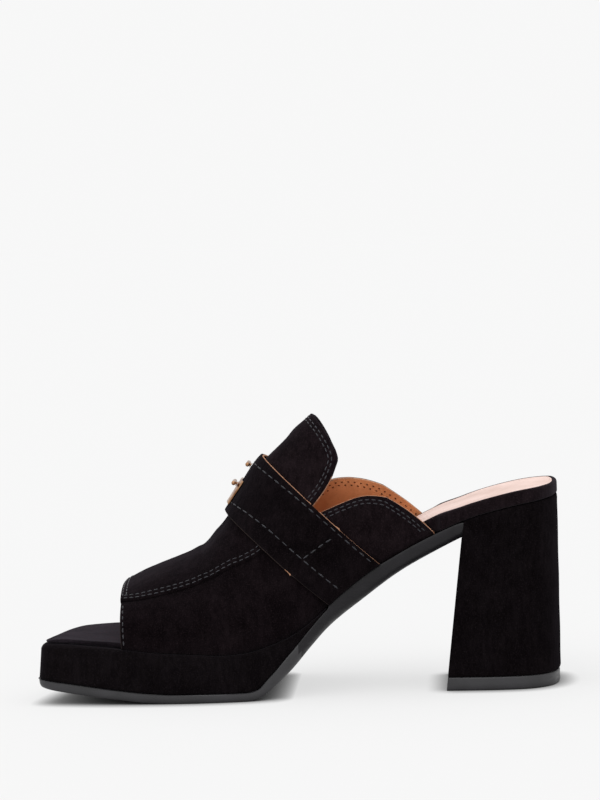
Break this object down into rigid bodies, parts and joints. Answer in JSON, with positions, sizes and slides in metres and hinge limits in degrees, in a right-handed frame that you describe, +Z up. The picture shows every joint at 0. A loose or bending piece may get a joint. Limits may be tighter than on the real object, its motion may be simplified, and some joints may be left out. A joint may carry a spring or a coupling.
{
  "type": "block heel mule",
  "caption": "Women's open-toe mule in black suede with a moccasin vamp, tall tongue, strap with a plain metal ornament, platform sole and covered block heel.",
  "frame": {"origin": "on the floor under the middle of the shoe's length and width", "axes": "+X towards the heel, +Y towards the outer side, +Z up"},
  "size_m": [0.2404, 0.0906, 0.1274],
  "materials": {
    "outsole_rubber": "smooth matt rubber",
    "platform_suede": "black suede",
    "footbed_suede": "black suede",
    "sock_leather": "smooth pale pink leather",
    "heel_suede": "black suede",
    "top_piece_rubber": "smooth matt rubber",
    "upper_suede": "black suede with tan lining",
    "strap_suede": "black suede with tan edges",
    "ornament_metal": "polished gold tone metal"
  },
  "bodies": {
    "root": {"outsole": "outsole_rubber", "platform": "platform_suede", "footbed": "footbed_suede", "sock": "sock_leather", "heel": "heel_suede", "heel_top_piece": "top_piece_rubber", "upper": "upper_suede", "strap": "strap_suede", "ornament_plate": "ornament_metal", "ornament_bar_1": "ornament_metal", "ornament_bar_2": "ornament_metal"}
  },
  "joints": []
}
